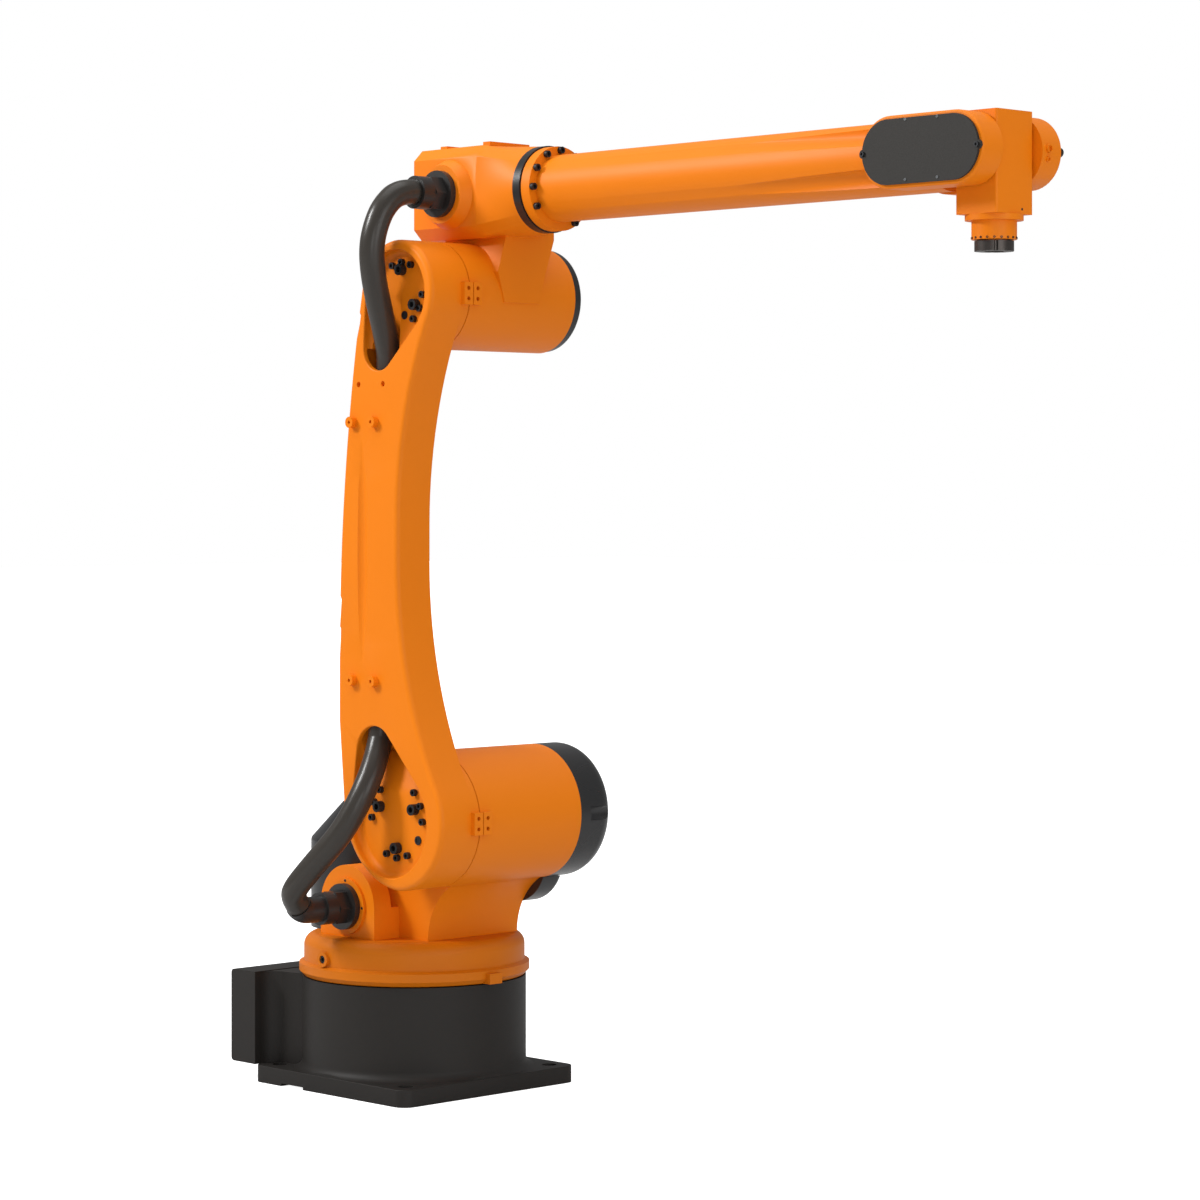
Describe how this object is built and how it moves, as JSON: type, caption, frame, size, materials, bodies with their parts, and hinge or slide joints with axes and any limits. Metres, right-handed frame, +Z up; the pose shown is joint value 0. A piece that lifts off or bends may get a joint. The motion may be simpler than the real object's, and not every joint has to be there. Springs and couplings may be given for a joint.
{
  "type": "six axis industrial robot arm",
  "caption": "Floor mounted jointed robot arm: turntable, upright link arm, level forearm with fork wrist and a round tool flange, with a dressing hose along the link arm.",
  "frame": {"origin": "on the floor at the axis of the turntable", "axes": "+Z up along the turntable axis, +X along the level forearm towards the tool, +Y towards the motor end of the shoulder"},
  "size_m": [1.3815, 0.4256, 1.374],
  "materials": {
    "orange_paint": "satin paint on casting",
    "base_paint": "satin dark paint on casting",
    "motor_cover": "moulded satin cover",
    "belt_cover": "fine textured dark paint on sheet",
    "gland_black": "moulded black",
    "hose_grey": "smooth satin jacket",
    "tool_steel": "blackened turned steel"
  },
  "bodies": {
    "base": {"base_casting": "base_paint", "junction_box": "base_paint", "junction_box_cover": "base_paint"},
    "column": {"turntable_skirt": "orange_paint", "column_casting": "orange_paint", "turn_motor_cover": "motor_cover", "shoulder_motor_cap": "motor_cover", "shoulder_cable_cover": "motor_cover", "lower_gland": "gland_black", "hose_elbow": "gland_black", "shoulder_mark_column": "orange_paint"},
    "link_arm": {"link_arm_casting": "orange_paint", "shoulder_mark_arm": "orange_paint", "elbow_mark_arm": "orange_paint", "lower_hose": "hose_grey", "upper_hose": "hose_grey"},
    "elbow": {"elbow_casting": "orange_paint", "elbow_motor_cap": "motor_cover", "upper_gland": "gland_black", "elbow_mark_housing": "orange_paint", "seal_ring": "motor_cover"},
    "forearm": {"forearm_casting": "orange_paint", "near_belt_cover": "belt_cover", "far_belt_cover": "belt_cover"},
    "wrist": {"wrist_block": "orange_paint", "wrist_collar": "orange_paint"},
    "tool": {"tool_flange": "tool_steel"}
  },
  "joints": [
    {"name": "turntable_turn", "type": "hinge", "parent": "base", "child": "column", "pos_m": [0, 0, 0.161], "axis": [0, 0, 1], "range_deg": [-170, 170]},
    {"name": "shoulder_swing", "type": "hinge", "parent": "column", "child": "link_arm", "pos_m": [0.15, -0.095, 0.404], "axis": [0, 1, 0], "range_deg": [-60, 80], "deforming": ["lower_hose"]},
    {"name": "elbow_swing", "type": "hinge", "parent": "link_arm", "child": "elbow", "pos_m": [0.15, -0.095, 1.153], "axis": [0, -1, 0], "range_deg": [-75, 90], "deforming": ["upper_hose"]},
    {"name": "forearm_roll", "type": "hinge", "parent": "elbow", "child": "forearm", "pos_m": [0.3, 0, 1.302], "axis": [1, 0, 0], "range_deg": [-180, 180]},
    {"name": "wrist_tilt", "type": "hinge", "parent": "forearm", "child": "wrist", "pos_m": [1.104, 0, 1.302], "axis": [0, -1, 0], "range_deg": [-30, 210]},
    {"name": "tool_turn", "type": "hinge", "parent": "wrist", "child": "tool", "pos_m": [1.104, 0, 1.188], "axis": [0, 0, 1], "range_deg": [-360, 360]}
  ]
}
